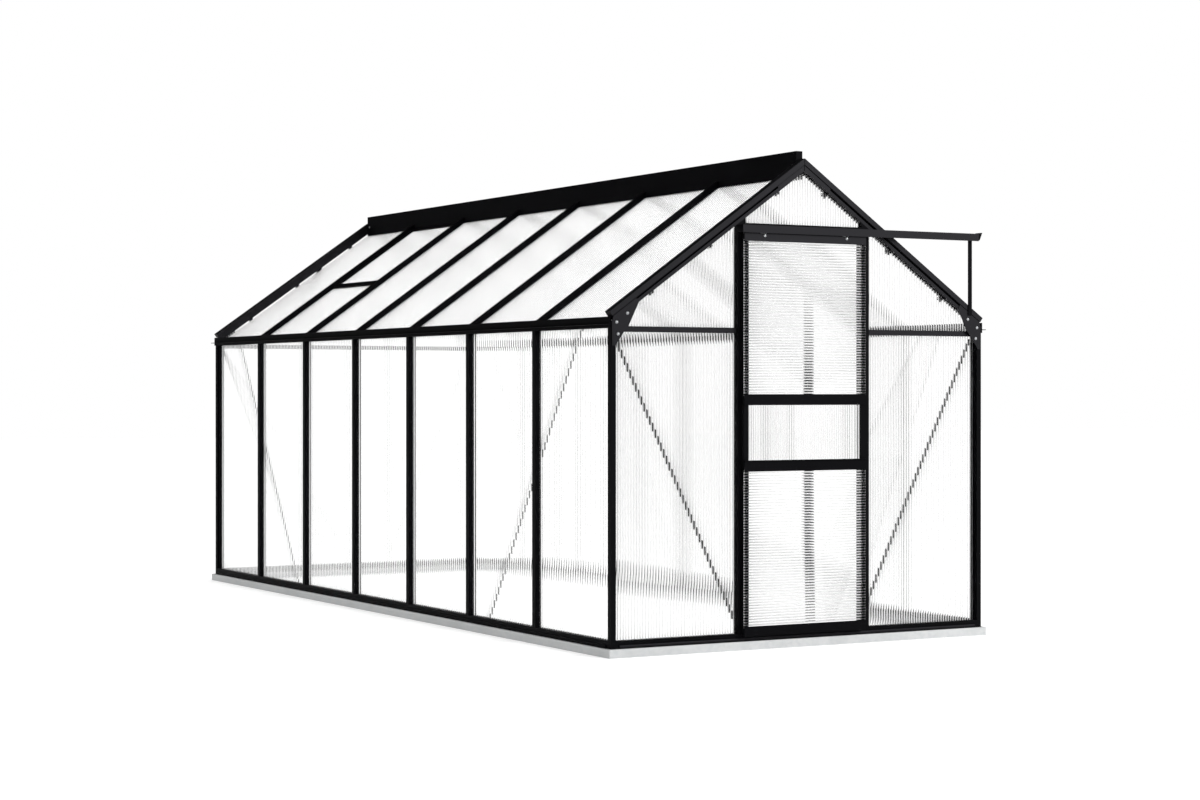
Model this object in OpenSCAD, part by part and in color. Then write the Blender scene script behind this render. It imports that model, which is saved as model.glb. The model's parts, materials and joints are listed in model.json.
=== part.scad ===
// Walk-in greenhouse: an aluminium frame glazed with fluted twin-wall sheets, on a steel base
// frame, with a door that slides sideways on a track across the front gable.
// Millimetres. X runs across the gables, Y from the front gable to the back one, Z up from the
// ground. The origin is on the ground, at the middle of everything that the house takes up.

/* [House] */
// Width over the corner posts
house_w = 1900; // [1700:10:2400]
// Length over the corner posts
house_l = 4512; // [3800:10:6000]
// Bays along each side wall
bays = 7; // [6:1:9]
// How much longer the bays at the two gables are than the others
end_extra = 26; // [0:1:40]
// Height of the side wall studs' tops above the ground
eave_h = 1342; // [1200:2:1500]
// Roof pitch in degrees
pitch = 34.8; // [32:0.1:38]
// Depth of the wall frame, from its outer face to its inner face
frame_d = 38; // [36:1:46]

/* [Base] */
// Height of the steel base channel
base_h = 36; // [24:1:60]
// How far the base channel stands out beyond the wall frame
base_lip = 16; // [8:1:30]
// Sheet thickness of the base channel
base_t = 2; // [1.5:0.5:3]

/* [Frame sections] */
// Height of the sill that lies on the base
sill_h = 32; // [26:1:40]
// How far the sill's drip lip stands out
sill_lip = 4; // [2:0.5:6]
// Height of the sill's drip lip
sill_lip_h = 16; // [8:1:20]
// Width of a side wall stud
stud_w = 28; // [24:1:36]
// Width of a corner post's front face
corner_w = 23; // [20:1:32]
// Depth of a corner post's side face
corner_d = 27; // [27:0.5:30]
// How far the inner part of a corner post lies inside the side wall's face
corner_back = 8; // [4:1:12]
// Width of a door post
post_w = 40; // [32:1:48]
// Height of a gable crossbar
crossbar_h = 23; // [18:1:30]
// How far a gable crossbar's top stands above the studs' tops
crossbar_up = 7; // [0:1:8]
// How far a gable crossbar's face lies behind the face of the posts
crossbar_in = 10; // [4:1:12]
// Depth of a gable rafter, square to the slope
rafter_h = 46; // [44:0.5:60]
// Height of the rafter's upper band, square to the slope
band_h = 22; // [18:0.5:26]
// How far the rafter's upper band stands out in front of its lower band
band_out = 3; // [2:0.5:5]
// Width of the seam under the rafter's upper band
seam = 3; // [2:0.5:4]
// Thickness of the lugs behind a rafter that hold the roof sheets' edges
lug_t = 10; // [9:0.5:11]
// Length of a lug along the rafter
lug_l = 24; // [16:1:40]
// Depth of a lug below the roof sheets, square to the slope
lug_low = 3; // [2:0.5:5]
// How far a rafter's end reaches past the side wall
rafter_over = 7; // [4:1:12]
// Height of the rafter's underside above the studs' tops, at the side wall's face
rafter_seat = 15; // [6:1:16]
// Width of a roof glazing bar
bar_w = 28; // [24:1:36]
// Height of a roof glazing bar, square to the slope
bar_h = 38; // [34:0.5:42]
// Depth of the glazing bars' tops below the rafters' top edge, square to the slope
bar_drop = 30.5; // [28:0.5:34]
// How much of a glazing bar stands above the sheets
bar_cap = 24; // [20:0.5:26]

/* [Eaves and ridge] */
// Height of the gutter's outer wall
gutter_h = 45; // [40:1:60]
// How far the gutter stands out beyond the side wall
gutter_out = 7; // [6:1:14]
// Wall thickness of the gutter
gutter_t = 3; // [2:0.5:4]
// How far the gutter's drip lip stands out beyond its outer wall
gutter_lip = 21; // [12:1:30]
// How far the roof sheets' lower edges stay inside the side wall's face
sheet_in = 31; // [30:0.5:34]
// How far the glazing bars' lower ends stay inside the side wall's face
bar_in = 10; // [6:1:12]
// Height of the gutter's trough floor above the studs' tops
trough_z = 16; // [14:1:18]
// Half the width of the ridge
ridge_half = 16; // [14:1:28]
// Height of the ridge above the rafters' top edge
ridge_cap = 34; // [12:1:44]
// Wall thickness of the ridge below its slots
ridge_t = 3; // [2.5:0.5:4]

/* [Glazing] */
// Thickness of the fluted sheets
panel_t = 4; // [3:0.5:6]
// Depth of the sheets' outer face behind the face of the wall frame
panel_d = 22; // [21:0.5:23]
// Depth of the slots that hold the sheets' edges
slot_in = 7; // [5:0.5:8]
// Play between a sheet and each side of its slot
slip = 0.5; // [0.3:0.1:0.8]
// Play between a sheet's edge and the bottom of its slot
edge_gap = 1; // [0.5:0.25:2]

/* [Braces and gussets] */
// Width of a diagonal brace
brace_w = 14; // [10:1:20]
// Thickness of a diagonal brace
brace_t = 3; // [2:0.5:4]
// How far a gable brace's end laps over the corner post
brace_seat = 3; // [1:0.5:4]
// Distance of a side brace's top from the gable
side_brace_top = 298; // [200:2:340]
// Distance of a side brace's foot from the gable
side_brace_foot = 1155; // [900:5:1250]
// Thickness of a gusset plate
gusset_t = 3; // [2:0.5:3]
// Reach of a gusset along the rafter, measured in from the side wall
gusset_reach = 130; // [115:1:150]
// Reach of a gusset down the corner post, below the studs' tops
gusset_drop = 73; // [60:1:100]
// Margin between a gusset's edge and the edge of its post
gusset_edge = 4; // [2:0.5:6]
// Inward reach of a gusset's waist past the post
gusset_waist = 22; // [10:1:30]
// Inward reach of a gusset's shoulder past the post
gusset_shoulder = 43; // [32:1:60]
// Depth of a gusset's waist below the studs' tops
waist_drop = 16; // [10:1:30]
// Height of a gusset's shoulder above the studs' tops
shoulder_up = 8; // [2:1:14]

/* [Roof vent] */
// Bay of the vent, counted from the front
vent_bay = 6; // [2:1:6]
// Length of the vent down the slope, from the ridge's side
vent_l = 580; // [450:5:700]
// Width of the vent frame's rails
vent_rail = 18; // [14:1:24]
// Height of the vent frame, square to the slope
vent_h = 14; // [12:1:15]
// Height of the crossbar below the vent
vent_bar_h = 19; // [16:1:24]
// Part of that crossbar's height that stands above the sheets
vent_bar_cap = 7; // [4:0.5:10]
// Width of the crossbar below the vent
vent_bar_w = 20; // [18:1:26]
// Gap between the vent frame and the glazing bars beside it
vent_gap = 3; // [2:0.5:6]

/* [Door] */
// Clear width between the door posts
door_w = 595; // [500:1:700]
// Depth of the doorway's head below the rafters' underside, at the door posts' outer sides
head_drop = 36; // [30:1:60]
// Height of the header over the doorway
header_h = 42; // [26:1:43]
// Height of the track's underside above the doorway's head
head_play = 3; // [2:0.5:4]
// How far the leaf laps over each door post
leaf_lap = 14; // [4:1:15]
// How far the shut leaf's middle lies to the left of the doorway's middle
leaf_off = 12; // [0:1:12]
// Height of the leaf's bottom edge above the ground
leaf_z = 58; // [54:1:70]
// Gap between the leaf and the face of the door posts
leaf_gap = 12; // [12:0.5:16]
// Depth of the leaf's stiles
stile_d = 12; // [10:0.5:14]
// Width of the leaf's stiles
stile_w = 24; // [20:1:32]
// Depth of a leaf rail's front flange
flange_t = 4; // [3:0.5:5]
// Height of the leaf's head rail
head_h = 33; // [30:1:48]
// Height of the leaf's upper middle rail
upper_rail_h = 46; // [36:1:56]
// Height of the leaf's lower middle rail
lower_rail_h = 47; // [36:1:56]
// Height of the leaf's bottom rail
foot_rail_h = 42; // [26:1:48]
// Height of the upper middle rail's underside above the ground
upper_rail_z = 1025; // [900:1:1200]
// Height of the lower middle rail's underside above the ground
lower_rail_z = 747; // [600:1:820]
// How far the lower middle rail's pull ledge stands out
ledge_out = 6; // [4:1:12]
// Thickness of the pull ledge
ledge_t = 4; // [3:0.5:6]

/* [Door track] */
// Height of the track
track_h = 29; // [26:1:36]
// Depth of the track
track_d = 38; // [36:1:44]
// Wall thickness of the track
track_t = 2.5; // [2:0.5:3]
// Width of the slot along the track's underside
track_slot = 14; // [14:0.5:16]
// Gap between the leaf's head and the track
head_gap = 5; // [5:0.5:7]
// How far the track laps over the door post at its closed end
track_lap = 39; // [30:1:45]
// How far the track reaches past its strut
track_end = 11; // [5:1:30]
// Distance of the track's strut in from the side wall
strut_in = 66; // [60:1:100]
// Width of the track's strut
strut_w = 20; // [14:1:26]
// Thickness of the track's strut
strut_t = 4; // [3:0.5:4]
// Length of the strut's foot on the rafter
strut_foot = 40; // [30:1:50]
// Diameter of a roller's wheels
wheel_d = 18; // [14:0.5:18]
// Width of a roller's wheel
wheel_w = 6; // [4:0.5:7]
// Diameter of a roller's axle
axle_d = 5; // [4:0.5:6]
// Distance of the rollers from the middle of the leaf
roller_x = 210; // [150:5:240]
// Width of a roller's hanger plate
hanger_w = 30; // [20:1:40]
// Thickness of a roller's hanger plate
hanger_t = 4; // [3:0.5:4]
// Reach of a hanger plate down the back of the head rail
hanger_lap = 30; // [20:1:30]

/* [Hidden] */
$fn = 48;

// Overshoot of a cut past the face that it opens
over = 1;
// Gap that a running or resting piece keeps from its seat
seat = 0.3;

half_w = house_w / 2;
bay = (house_l - 2 * end_extra) / bays;
inner_x = half_w - frame_d;
corner_x = half_w - corner_w;
inner_y = house_l - frame_d;
sill_top = base_h + sill_h;
slot_d = panel_d - slip;
slot_w = panel_t + 2 * slip;

// Depths of the door's layers in front of the post faces, counted outward
leaf_mid = leaf_gap + stile_d - hanger_t / 2;
stile_face = leaf_gap + stile_d;
rail_back = stile_face + panel_t;
rail_face = rail_back + flange_t;
track_back = band_out;
track_face = track_back + track_d;
strut_x = half_w - strut_in;
track_left = door_w / 2 + track_lap;
track_right = strut_x + strut_w / 2 + track_end;
leaf_half = door_w / 2 + leaf_lap;
post_out = door_w / 2 + post_w;
post_mid = door_w / 2 + post_w / 2;

// Places of the lugs along a rafter, as shares of its length
lug_places = [0.15, 0.5, 0.8];

// The front plane lies so that track and base leave the origin in the middle
front_y = -house_l / 2 + (track_face - base_lip) / 2;
back_y = front_y + house_l;

// Heights of the roof's parallel planes at a distance x from the middle
function z_low(x) = eave_h + rafter_seat + tan(pitch) * (half_w - x);
function z_top(x) = z_low(x) + rafter_h / cos(pitch);
function z_under(x, n) = z_top(x) - n / cos(pitch);

// Lower end of a rafter at the depth n, and its height
function end_x(n) = half_w + rafter_over - n * sin(pitch);
function end_z(n) = z_under(end_x(n), n);

// Middle of the stud and glazing bar after bay i
function stud_y(i) = end_extra + i * bay;

apex_z = z_top(0);
door_head_z = z_low(post_out) - head_drop;
track_z = door_head_z + head_play;
leaf_top = track_z - head_gap;
axle_z = track_z + track_t + seat + wheel_d / 2;
glaze_n = bar_drop + bar_cap;
glaze_low_n = glaze_n + panel_t;
lug_n = glaze_low_n + slip + lug_low;
lug_y = frame_d - lug_t;
bar_low_n = bar_drop + bar_h;
roof_slot_n = glaze_n - slip;
tip_s = (half_w + rafter_over) / cos(pitch);
rafter_end_z = end_z(rafter_h);
bar_end_x = half_w - bar_in;
roof_s0 = (ridge_half - slot_in + edge_gap + glaze_low_n * sin(pitch)) / cos(pitch);
roof_s1 = (half_w - sheet_in + glaze_n * sin(pitch)) / cos(pitch);
vent_s0 = (ridge_half + seat + (glaze_n + vent_h / 2) * sin(pitch)) / cos(pitch);
vent_s1 = vent_s0 + vent_l;
vent_y0 = stud_y(vent_bay - 1) + bar_w / 2;
vent_y1 = stud_y(vent_bay) - bar_w / 2;
crossbar_z = eave_h + crossbar_up - crossbar_h;
crossbar_top = crossbar_z + crossbar_h;

frame_colour = "#2b2b30";
steel_colour = "#c9cbcb";
sheet_colour = "#eef1ef";
zinc_colour = "#a8abad";

// Places for pieces drawn against one wall: x or y counts inward from the wall's outer face

module left_side() translate([-half_w, front_y, 0]) children();
module right_side() mirror([1, 0, 0]) left_side() children();
module front_gable() translate([0, front_y, 0]) children();
module leaf_place() translate([-leaf_off, front_y, 0]) children();
module back_gable() translate([0, back_y, 0]) mirror([0, 1, 0]) children();
module both_gables() { front_gable() children(); back_gable() children(); }
module both_hands() { children(); mirror([1, 0, 0]) children(); }

// A section drawn in depth and height, run along X or along Y
module run_x(x0, x1) translate([x0, 0, 0]) rotate([90, 0, 90]) linear_extrude(x1 - x0) children();
module run_y(y0, y1) translate([0, y1, 0]) rotate([90, 0, 0]) linear_extrude(y1 - y0) children();

// The right roof slope, with x down the slope from the apex and z square to it
module on_slope() translate([0, 0, apex_z]) rotate([0, pitch, 0]) children();

// Sections

module stud_section(w) {
    difference() {
        translate([0, -w / 2]) square([frame_d, w]);
        for (hand = [0, 1])
            mirror([0, hand]) translate([slot_d, w / 2 - slot_in]) square([slot_w, slot_in + over]);
    }
}

module base_section() {
    difference() {
        translate([-base_lip, 0]) square([base_lip + frame_d, base_h]);
        translate([base_t - base_lip, base_t])
            square([base_lip + frame_d, base_h - 2 * base_t]);
    }
}

module sill_section() {
    difference() {
        union() {
            square([frame_d, sill_h]);
            translate([-sill_lip, 0]) square([sill_lip + over, sill_lip_h]);
        }
        translate([slot_d, sill_h - slot_in]) square([slot_w, slot_in + over]);
    }
}

module crossbar_section() {
    difference() {
        translate([crossbar_in, 0]) square([frame_d - crossbar_in, crossbar_h]);
        for (z = [-over, crossbar_h - slot_in])
            translate([slot_d, z]) square([slot_w, slot_in + over]);
    }
}

module gutter_section() {
    wall_low = z_under(inner_x + gutter_t, glaze_low_n) - seat - eave_h;
    difference() {
        union() {
            translate([-gutter_out, 0]) square([gutter_t, gutter_h]);
            translate([-gutter_out - gutter_lip, trough_z - gutter_t])
                square([gutter_lip + gutter_out + frame_d, gutter_t]);
            translate([frame_d - gutter_t, 0]) square([gutter_t, wall_low]);
            translate([slot_d - gutter_t, 0]) square([slot_w + 2 * gutter_t, trough_z]);
        }
        translate([slot_d, -over]) square([slot_w, slot_in + over]);
    }
}

module ridge_section() {
    low = z_under(ridge_half, glaze_low_n + slip + ridge_t);
    difference() {
        translate([-ridge_half, low]) square([2 * ridge_half, z_top(0) + ridge_cap - low]);
        for (hand = [0, 1])
            mirror([hand, 0]) ridge_slot();
    }
}

module ridge_slot() {
    deep = ridge_half - slot_in;
    open = ridge_half + over;
    polygon([
        [deep, z_under(deep, roof_slot_n)], [open, z_under(open, roof_slot_n)],
        [open, z_under(open, roof_slot_n + slot_w)], [deep, z_under(deep, roof_slot_n + slot_w)]
    ]);
}

module rafter_section() {
    difference() {
        polygon([
            [-band_out, 0], [frame_d, 0], [frame_d, -rafter_h], [0, -rafter_h],
            [0, -band_h - seam], [band_out, -band_h - seam], [band_out, -band_h],
            [-band_out, -band_h]
        ]);
        translate([slot_d, -rafter_h - over]) square([slot_w, slot_in + over]);
    }
}

module lug_section()
    difference() {
        translate([lug_y, -lug_n]) square([lug_t, lug_n - rafter_h + over]);
        translate([frame_d - slot_in, -roof_slot_n - slot_w]) square([slot_in + over, slot_w]);
    }

module bar_section() {
    difference() {
        translate([-bar_w / 2, -bar_low_n]) square([bar_w, bar_h]);
        for (hand = [0, 1])
            mirror([hand, 0])
                translate([bar_w / 2 - slot_in, -roof_slot_n - slot_w])
                    square([slot_in + over, slot_w]);
    }
}

// Base and sills

module base_run(length) {
    corner = length / 2 + base_lip;
    inner = length / 2 - frame_d;
    intersection() {
        run_x(-corner, corner) base_section();
        linear_extrude(base_h)
            polygon([
                [-corner, -base_lip], [corner, -base_lip], [inner, frame_d], [-inner, frame_d]
            ]);
    }
}

module front_base() color(steel_colour) front_gable() base_run(house_w);
module back_base() color(steel_colour) back_gable() base_run(house_w);

module side_bases()
    color(steel_colour)
        both_hands()
            translate([-half_w, front_y + house_l / 2, 0])
                rotate([0, 0, -90])
                    base_run(house_l);

module gable_sill() translate([0, 0, base_h]) run_x(-inner_x, inner_x) sill_section();
module front_sill() color(frame_colour) front_gable() gable_sill();
module back_sill() color(frame_colour) back_gable() gable_sill();

module side_sills()
    color(frame_colour)
        both_hands()
            left_side() translate([0, 0, base_h]) run_y(frame_d, inner_y) sill_section();

// Posts and studs

module corner_slots() {
    translate([slot_d, frame_d - slot_in]) square([slot_w, slot_in + over]);
    translate([corner_w - slot_in, slot_d]) square([frame_d, slot_w]);
}

// A slim bar in front, and behind it a part that holds the side wall's sheet
module corner_section()
    polygon([
        [0, 0], [corner_w, 0], [corner_w, corner_d], [frame_d, corner_d], [frame_d, frame_d],
        [corner_back, frame_d], [corner_back, corner_d], [0, corner_d]
    ]);

// A post's outline up to the rafter's depth n
module corner_outline(n)
    polygon([
        [0, base_h], [frame_d, base_h], [frame_d, z_under(inner_x, n)],
        [half_w - end_x(n), end_z(n)], [0, end_z(n)]
    ]);

module corner_post()
    translate([-half_w, 0, 0])
        difference() {
            intersection() {
                union() {
                    linear_extrude(apex_z) corner_section();
                    linear_extrude(sill_top) square(frame_d);
                }
                union() {
                    run_y(0, lug_y) corner_outline(rafter_h);
                    run_y(lug_y, frame_d) corner_outline(lug_n);
                }
            }
            linear_extrude(apex_z) corner_slots();
        }

module corner_posts() color(frame_colour) both_gables() both_hands() corner_post();

module wall_studs()
    for (i = [1 : bays - 1])
        translate([0, stud_y(i), sill_top]) linear_extrude(eave_h - sill_top) stud_section(stud_w);

module left_studs() color(frame_colour) left_side() wall_studs();
module right_studs() color(frame_colour) right_side() wall_studs();

module upright_outline(x0, x1, n)
    polygon([[x0, 0], [x1, 0], [x1, z_under(x1, n)], [x0, z_under(x0, n)]]);

// A gable upright from the sill to the underside of the rafter
module gable_upright(x, w) {
    intersection() {
        translate([x, 0, sill_top]) rotate([0, 0, 90]) mirror([0, 1, 0])
            linear_extrude(apex_z) stud_section(w);
        union() {
            run_y(0, lug_y) upright_outline(x - w, x + w, rafter_h);
            run_y(lug_y, frame_d) upright_outline(x - w, x + w, lug_n);
        }
    }
}

module door_posts()
    color(frame_colour)
        front_gable() both_hands() gable_upright(post_mid, post_w);

module door_header()
    color(frame_colour)
        front_gable()
            translate([0, 0, door_head_z])
                run_x(-door_w / 2, door_w / 2)
                    difference() {
                        square([frame_d, header_h]);
                        translate([slot_d, header_h - slot_in]) square([slot_w, slot_in + over]);
                    }

module back_gable_studs()
    color(frame_colour)
        back_gable() both_hands() gable_upright(post_mid, stud_w);

module crossbar(x0, x1) translate([0, 0, crossbar_z]) run_x(x0, x1) crossbar_section();

// A crossbar that ends at the corner post, cut round the post's inner part
module end_crossbar(x)
    difference() {
        crossbar(x, corner_x);
        translate([inner_x, corner_d, 0]) cube([frame_d, frame_d, apex_z]);
    }

module front_crossbars() color(frame_colour) front_gable() both_hands() end_crossbar(post_out);

module back_crossbars()
    color(frame_colour)
        back_gable() {
            both_hands() end_crossbar(post_mid + stud_w / 2);
            crossbar(-post_mid + stud_w / 2, post_mid - stud_w / 2);
        }

// Eaves, ridge and roof

module eaves_gutter()
    translate([0, 0, eave_h]) {
        run_y(frame_d, inner_y) gutter_section();
        run_y(0, house_l)
            intersection() {
                gutter_section();
                translate([-gutter_out - gutter_lip, 0]) square([gutter_out + gutter_lip, gutter_h]);
            }
    }

module left_gutter() color(frame_colour) left_side() eaves_gutter();
module right_gutter() color(frame_colour) right_side() eaves_gutter();

module ridge() color(frame_colour) front_gable() run_y(frame_d, inner_y) ridge_section();

module gable_rafter()
    intersection() {
        on_slope() {
            run_x(0, tip_s) rafter_section();
            for (share = lug_places)
                run_x(share * tip_s, share * tip_s + lug_l) lug_section();
        }
        translate([0, -house_l / 2, 0]) cube([house_w, house_l, 2 * apex_z]);
    }

module right_rafters() color(frame_colour) both_gables() gable_rafter();
module left_rafters() mirror([1, 0, 0]) right_rafters();

module bar_outline()
    difference() {
        polygon([
            [ridge_half, apex_z], [ridge_half, eave_h], [inner_x, eave_h],
            [inner_x, z_under(inner_x, glaze_n + panel_t / 2)],
            [bar_end_x, z_under(bar_end_x, glaze_n + panel_t / 2)], [bar_end_x, apex_z]
        ]);
        translate([inner_x, eave_h]) square([frame_d, trough_z + seat]);
    }

module roof_bars()
    intersection() {
        for (i = [1 : bays - 1])
            translate([0, stud_y(i), 0]) on_slope() run_x(0, tip_s) bar_section();
        run_y(0, house_l) bar_outline();
    }

module right_roof_bars() color(frame_colour) front_gable() roof_bars();
module left_roof_bars() color(frame_colour) mirror([1, 0, 0]) front_gable() roof_bars();

// Glazing

// Ends of the sheet in bay i, between a piece of width w at each bar and the gables' slots
function sheet_y0(i, w) = (i == 0 ? frame_d : stud_y(i) + w / 2) - slot_in + edge_gap;
function sheet_y1(i, w) = (i == bays - 1 ? inner_y : stud_y(i + 1) - w / 2) + slot_in - edge_gap;

module wall_panels() {
    low = sill_top - slot_in + edge_gap;
    high = eave_h + slot_in - edge_gap;
    for (i = [0 : bays - 1])
        translate([panel_d, sheet_y0(i, stud_w), low])
            cube([panel_t, sheet_y1(i, stud_w) - sheet_y0(i, stud_w), high - low]);
}

module left_wall_panels() color(sheet_colour) left_side() wall_panels();
module right_wall_panels() color(sheet_colour) right_side() wall_panels();

module roof_panel(i, s0)
    on_slope()
        translate([s0, sheet_y0(i, bar_w), -glaze_low_n])
            cube([roof_s1 - s0, sheet_y1(i, bar_w) - sheet_y0(i, bar_w), panel_t]);

module left_roof_panels()
    color(sheet_colour)
        mirror([1, 0, 0])
            front_gable()
                for (i = [0 : bays - 1])
                    roof_panel(i, i == vent_bay - 1 ? vent_s1 + vent_bar_w - slot_in + edge_gap : roof_s0);

module right_roof_panels()
    color(sheet_colour)
        front_gable()
            for (i = [0 : bays - 1])
                roof_panel(i, roof_s0);

// Upper edge of a gable sheet, seated in the rafter's slot
function sheet_top(x) = z_low(x) + (slot_in - edge_gap) / cos(pitch);

module gable_sheet(points) run_y(panel_d, panel_d + panel_t) polygon(points);

// Lower and upper sheet between an upright whose outer side is at x and the corner post
module side_sheets(x) {
    x0 = x - slot_in + edge_gap;
    x1 = corner_x + slot_in - edge_gap;
    low = sill_top - slot_in + edge_gap;
    bar_low = crossbar_z + slot_in - edge_gap;
    bar_high = crossbar_top - slot_in + edge_gap;
    gable_sheet([[x0, low], [x1, low], [x1, bar_low], [x0, bar_low]]);
    gable_sheet([[x0, bar_high], [x1, bar_high], [x1, sheet_top(x1)], [x0, sheet_top(x0)]]);
}

module front_gable_panels() {
    head = door_head_z + header_h - slot_in + edge_gap;
    x = door_w / 2 - edge_gap;
    color(sheet_colour)
        front_gable() {
            both_hands() side_sheets(post_out);
            gable_sheet([
                [-x, head], [x, head], [x, sheet_top(x)], [0, sheet_top(0)], [-x, sheet_top(x)]
            ]);
        }
}

module back_gable_panels() {
    x = post_mid - stud_w / 2 + slot_in - edge_gap;
    low = sill_top - slot_in + edge_gap;
    bar_low = crossbar_z + slot_in - edge_gap;
    bar_high = crossbar_top - slot_in + edge_gap;
    color(sheet_colour)
        back_gable() {
            both_hands() side_sheets(post_mid + stud_w / 2);
            gable_sheet([[-x, low], [x, low], [x, bar_low], [-x, bar_low]]);
            gable_sheet([
                [-x, bar_high], [x, bar_high], [x, sheet_top(x)], [0, sheet_top(0)],
                [-x, sheet_top(x)]
            ]);
        }
}

// Roof vent, closed

module vent_place() mirror([1, 0, 0]) front_gable() on_slope() children();

module vent_crossbar()
    color(frame_colour)
        vent_place()
            translate([vent_s1, vent_y0, vent_bar_cap - vent_bar_h - glaze_n])
                difference() {
                    cube([vent_bar_w, vent_y1 - vent_y0, vent_bar_h]);
                    translate([vent_bar_w - slot_in, -over, vent_bar_h - vent_bar_cap + slip - slot_w])
                        cube([slot_in + over, vent_y1 - vent_y0 + 2 * over, slot_w]);
                }

module vent_block(inset, low, height)
    translate([vent_s0 + inset, vent_y0 + vent_gap + inset, low])
        cube([
            vent_l - 2 * inset, vent_y1 - vent_y0 - 2 * (vent_gap + inset), height
        ]);

module vent_frame()
    color(frame_colour)
        vent_place()
            difference() {
                vent_block(0, -glaze_n - vent_h / 2, vent_h);
                vent_block(vent_rail, -glaze_n - vent_h, 2 * vent_h);
                vent_block(vent_rail - slot_in, -roof_slot_n - slot_w, slot_w);
            }

module vent_panel()
    color(sheet_colour)
        vent_place() vent_block(vent_rail - slot_in + edge_gap, -glaze_low_n, panel_t);

// Gussets and braces

module gusset_outline() {
    reach_x = half_w - gusset_reach;
    lower_band = rafter_h - band_h - seam;
    seam_n = band_h + seam;
    end_x = half_w + rafter_over - seam_n * sin(pitch) - gusset_edge;
    polygon([
        [reach_x, z_low(reach_x)],
        [reach_x + lower_band * sin(pitch), z_under(reach_x + lower_band * sin(pitch), seam_n)],
        [end_x, z_under(end_x, seam_n)],
        [half_w - gusset_edge, rafter_end_z],
        [half_w - gusset_edge, eave_h - gusset_drop],
        [corner_x + gusset_edge, eave_h - gusset_drop],
        [inner_x - gusset_waist, eave_h - waist_drop],
        [inner_x - gusset_shoulder, eave_h + shoulder_up]
    ]);
}

module gusset_plates()
    color(frame_colour)
        both_gables() both_hands() run_y(-gusset_t, 0) gusset_outline();

// A flat bar between two points of a plane, drawn with its ends square to its run
module flat_bar(p, q) {
    run = q - p;
    translate(p)
        rotate(atan2(run[1], run[0]))
            translate([0, -brace_w / 2]) square([norm(run), brace_w]);
}

module gable_brace() {
    top = [inner_x + brace_seat, crossbar_z - brace_w];
    foot = [post_mid, sill_top + 2 * brace_w];
    run_y(frame_d, frame_d + brace_t) flat_bar(foot, top);
}

module gable_braces() color(frame_colour) both_gables() both_hands() gable_brace();

module side_brace() {
    top = [side_brace_top, eave_h + trough_z / 2];
    foot = [side_brace_foot, sill_top - sill_h / 2];
    translate([frame_d, 0, 0]) run_x(0, brace_t) flat_bar(foot, top);
}

module side_braces()
    color(frame_colour)
        both_hands()
            left_side() {
                side_brace();
                translate([0, house_l, 0]) mirror([0, 1, 0]) side_brace();
            }

// Door track

module door_track()
    color(frame_colour)
        front_gable()
            translate([0, 0, track_z])
                run_x(-track_left, track_right)
                    difference() {
                        translate([-track_face, 0]) square([track_d, track_h]);
                        translate([track_t - track_face, track_t])
                            square([track_d - 2 * track_t, track_h - 2 * track_t]);
                        translate([-leaf_mid - track_slot / 2, -over])
                            square([track_slot, track_t + 2 * over]);
                    }

module track_caps() {
    lean = track_h / 2;
    cap_t = 2 * track_t;
    color(frame_colour)
        front_gable()
            translate([0, 0, track_z]) {
                run_y(-track_face, -track_back)
                    polygon([
                        [track_right, 0], [track_right + cap_t, 0],
                        [track_right + cap_t + lean, track_h + cap_t],
                        [track_right + lean, track_h + cap_t], [track_right, track_h]
                    ]);
                run_y(-track_face, -track_back)
                    translate([-track_left - track_t, 0]) square([track_t, track_h]);
            }
}

module track_brackets()
    color(frame_colour)
        front_gable()
            both_hands()
                translate([door_w / 2, -track_back, track_z])
                    cube([track_lap, track_back, track_h]);

module track_strut() {
    foot_z = z_top(strut_x) - strut_foot;
    color(frame_colour)
        front_gable()
            translate([strut_x - strut_w / 2, -track_back - strut_t, foot_z])
                cube([strut_w, strut_t, track_z - foot_z]);
}

// Door leaf

module door_stiles()
    color(frame_colour)
        leaf_place()
            both_hands()
                translate([leaf_half - stile_w, -stile_face, leaf_z])
                    linear_extrude(leaf_top - leaf_z)
                        difference() {
                            square([stile_w, stile_d]);
                            translate([-over, stile_d / 2 - slot_w / 2])
                                square([slot_in + over, slot_w]);
                        }

// A leaf rail: a front flange over the sheets' edges, with a core between the sheets
module leaf_rail(z, h, low_lap, high_lap)
    translate([0, 0, z])
        run_x(-leaf_half, leaf_half) {
            translate([-rail_face, 0]) square([flange_t, h]);
            translate([-rail_back - over, low_lap]) square([panel_t + over, h - low_lap - high_lap]);
        }

module door_head() color(frame_colour) leaf_place() leaf_rail(leaf_top - head_h, head_h, slot_in, 0);
module door_foot() color(frame_colour) leaf_place() leaf_rail(leaf_z, foot_rail_h, 0, slot_in);

module door_middle_rails()
    color(frame_colour)
        leaf_place() {
            leaf_rail(upper_rail_z, upper_rail_h, 0, slot_in);
            leaf_rail(lower_rail_z, lower_rail_h, slot_in, 0);
            translate([0, 0, lower_rail_z + lower_rail_h - ledge_t])
                run_x(-leaf_half, leaf_half)
                    translate([-rail_face - ledge_out, 0]) square([ledge_out + over, ledge_t]);
        }

module leaf_sheet(z0, z1)
    translate([-leaf_half, -rail_back, z0 - slot_in + edge_gap])
        cube([2 * leaf_half, panel_t, z1 - z0 + 2 * (slot_in - edge_gap)]);

module door_panels() {
    middle_half = leaf_half - stile_w + slot_in - edge_gap;
    middle_z = lower_rail_z + lower_rail_h - slot_in;
    middle_h = upper_rail_z + slot_in - middle_z;
    color(sheet_colour)
        leaf_place() {
            leaf_sheet(upper_rail_z + upper_rail_h, leaf_top - head_h);
            leaf_sheet(leaf_z + foot_rail_h, lower_rail_z);
            translate([-middle_half, -stile_face + stile_d / 2 - panel_t / 2, middle_z])
                cube([2 * middle_half, panel_t, middle_h]);
        }
}

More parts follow.
